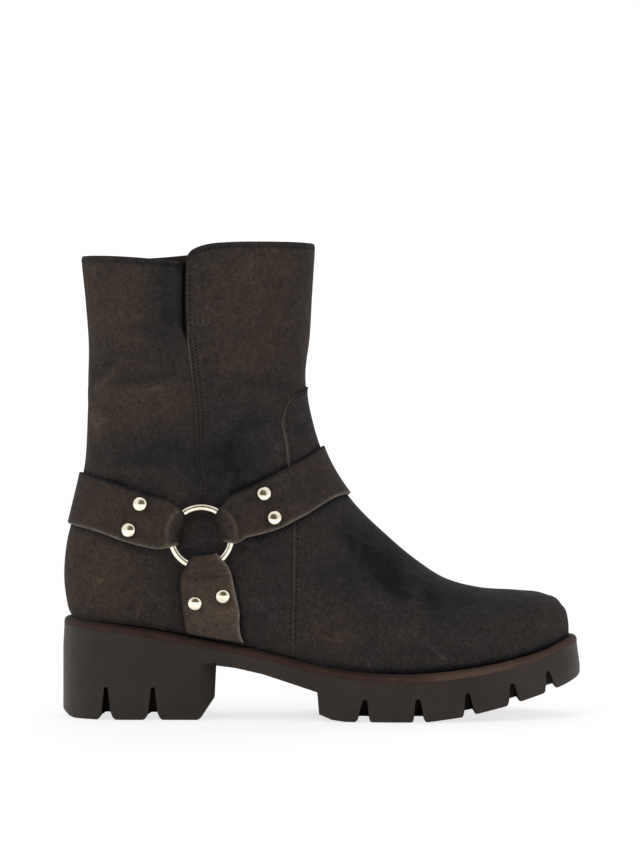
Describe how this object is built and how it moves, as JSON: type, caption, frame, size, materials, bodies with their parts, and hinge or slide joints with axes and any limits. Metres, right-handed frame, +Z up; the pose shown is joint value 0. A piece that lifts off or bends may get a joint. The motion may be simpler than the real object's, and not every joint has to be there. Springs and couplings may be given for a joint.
{
  "type": "ankle boot",
  "caption": "Right ankle boot with a hollow leather upper, a lugged rubber sole with a block heel, and riveted leather straps that meet at a metal ring on the outer side.",
  "frame": {"origin": "on the floor under the middle of the boot's bounding box", "axes": "+X towards the toe, +Y towards the inner side, +Z up"},
  "size_m": [0.2756, 0.1003, 0.2504],
  "materials": {
    "sole_rubber": "matte moulded rubber, dark brown-black",
    "welt_leather": "smooth reddish-brown edge strip",
    "insole_leather": "plain matte lining leather",
    "upper_leather": "dark brown waxed nubuck, mottled, nearly matte",
    "strap_leather": "dark brown waxed nubuck strap with a lighter cut edge",
    "ring_metal": "polished nickel plate",
    "stud_metal": "polished nickel plate, a little aged"
  },
  "bodies": {
    "root": {"outsole": "sole_rubber", "welt": "welt_leather", "insole": "insole_leather", "upper": "upper_leather", "harness_strap": "strap_leather", "stirrup_strap": "strap_leather", "ring": "ring_metal", "stud_rear_upper": "stud_metal", "stud_rear_lower": "stud_metal", "stud_front_upper": "stud_metal", "stud_front_lower": "stud_metal", "stud_stirrup_rear": "stud_metal", "stud_stirrup_front": "stud_metal"}
  },
  "joints": []
}
